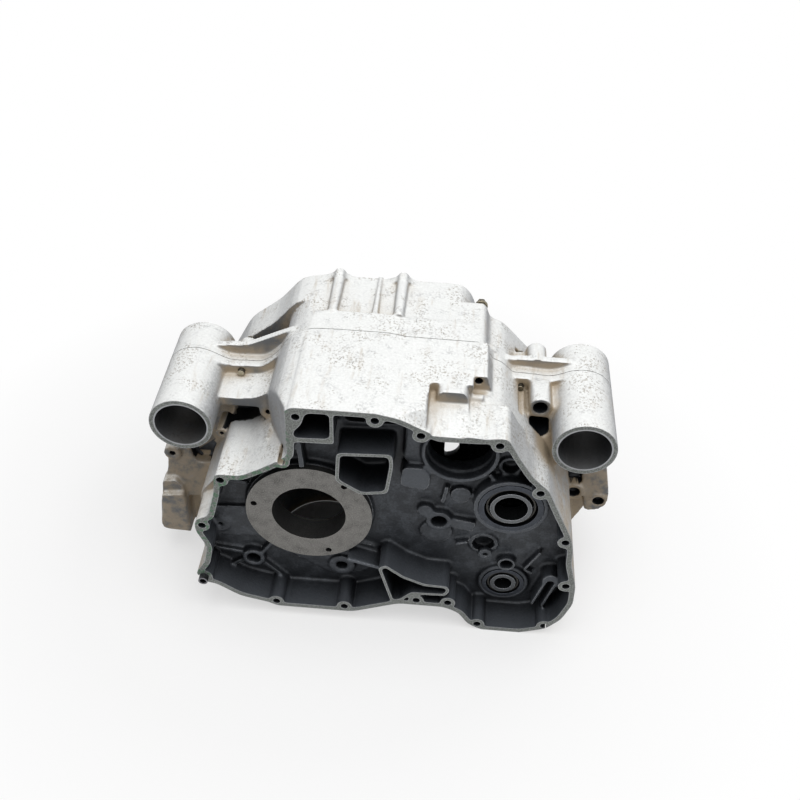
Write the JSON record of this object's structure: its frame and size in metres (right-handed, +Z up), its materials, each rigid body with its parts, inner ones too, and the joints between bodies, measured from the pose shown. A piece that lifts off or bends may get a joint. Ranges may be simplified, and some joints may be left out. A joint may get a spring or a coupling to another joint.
{
  "type": "engine crankcase",
  "caption": "Two-half cast crankcase of a single-cylinder engine, with mounting tubes, a lined crank bore, shaft bearings, gear rooms and cover flanges on both sides.",
  "frame": {"origin": "on the crankshaft's axis, at the middle of the joint between the halves", "axes": "+X across the engine from the crankshaft to the gear shafts, +Y along the crankshaft to the generator side, +Z up as it stands on the cylinder deck"},
  "size_m": [0.4403, 0.201, 0.277],
  "materials": {
    "cast_aluminium": "weathered cast",
    "gasket_paper": "oily",
    "carrier_steel": "dull, stained",
    "bearing_steel": "ground",
    "cage_steel": "pressed, oily",
    "seal_rubber": "matte",
    "dowel_steel": "dull",
    "bolt_steel": "plated, worn"
  },
  "bodies": {
    "case": {"clutch_side_case": "cast_aluminium", "generator_side_case": "cast_aluminium", "joint_gasket": "gasket_paper", "crank_bearing_carrier": "carrier_steel", "crank_bearing_sleeve": "carrier_steel", "clutch_mainshaft_outer_race": "bearing_steel", "clutch_layshaft_outer_race": "bearing_steel", "generator_mainshaft_outer_race": "bearing_steel", "generator_layshaft_outer_race": "bearing_steel", "layshaft_oil_seal": "seal_rubber", "cover_dowel_sleeve": "dowel_steel", "case_dowels": "dowel_steel", "short_case_bolts": "bolt_steel", "long_case_bolts": "bolt_steel"},
    "clutch_mainshaft_inner": {"clutch_mainshaft_inner_race": "bearing_steel"},
    "clutch_mainshaft_ball_set": {"clutch_mainshaft_balls": "bearing_steel", "clutch_mainshaft_cage": "cage_steel"},
    "clutch_layshaft_inner": {"clutch_layshaft_inner_race": "bearing_steel"},
    "clutch_layshaft_ball_set": {"clutch_layshaft_balls": "bearing_steel", "clutch_layshaft_cage": "cage_steel"},
    "generator_mainshaft_inner": {"generator_mainshaft_inner_race": "bearing_steel"},
    "generator_mainshaft_ball_set": {"generator_mainshaft_balls": "bearing_steel", "generator_mainshaft_cage": "cage_steel"},
    "generator_layshaft_inner": {"generator_layshaft_inner_race": "bearing_steel"},
    "generator_layshaft_ball_set": {"generator_layshaft_balls": "bearing_steel", "generator_layshaft_cage": "cage_steel"}
  },
  "joints": [
    {"name": "clutch_mainshaft_turn", "type": "hinge", "parent": "case", "child": "clutch_mainshaft_inner", "pos_m": [0.182, -0.081, 0.028], "axis": [0, 1, 0], "continuous": true},
    {"name": "clutch_mainshaft_balls_turn", "type": "hinge", "parent": "case", "child": "clutch_mainshaft_ball_set", "pos_m": [0.182, -0.081, 0.028], "axis": [0, 1, 0], "continuous": true},
    {"name": "clutch_layshaft_turn", "type": "hinge", "parent": "case", "child": "clutch_layshaft_inner", "pos_m": [0.185, -0.0745, -0.086], "axis": [0, 1, 0], "continuous": true},
    {"name": "clutch_layshaft_balls_turn", "type": "hinge", "parent": "case", "child": "clutch_layshaft_ball_set", "pos_m": [0.185, -0.0745, -0.086], "axis": [0, 1, 0], "continuous": true},
    {"name": "generator_mainshaft_turn", "type": "hinge", "parent": "case", "child": "generator_mainshaft_inner", "pos_m": [0.182, 0.062, 0.028], "axis": [0, 1, 0], "continuous": true},
    {"name": "generator_mainshaft_balls_turn", "type": "hinge", "parent": "case", "child": "generator_mainshaft_ball_set", "pos_m": [0.182, 0.062, 0.028], "axis": [0, 1, 0], "continuous": true},
    {"name": "generator_layshaft_turn", "type": "hinge", "parent": "case", "child": "generator_layshaft_inner", "pos_m": [0.185, 0.062, -0.086], "axis": [0, 1, 0], "continuous": true},
    {"name": "generator_layshaft_balls_turn", "type": "hinge", "parent": "case", "child": "generator_layshaft_ball_set", "pos_m": [0.185, 0.062, -0.086], "axis": [0, 1, 0], "continuous": true}
  ],
  "couplings": [
    {"joint": "clutch_mainshaft_balls_turn", "follows": "clutch_mainshaft_turn", "ratio": 0.4069},
    {"joint": "clutch_layshaft_balls_turn", "follows": "clutch_layshaft_turn", "ratio": 0.3951},
    {"joint": "generator_mainshaft_balls_turn", "follows": "generator_mainshaft_turn", "ratio": 0.4069},
    {"joint": "generator_layshaft_balls_turn", "follows": "generator_layshaft_turn", "ratio": 0.3951}
  ]
}
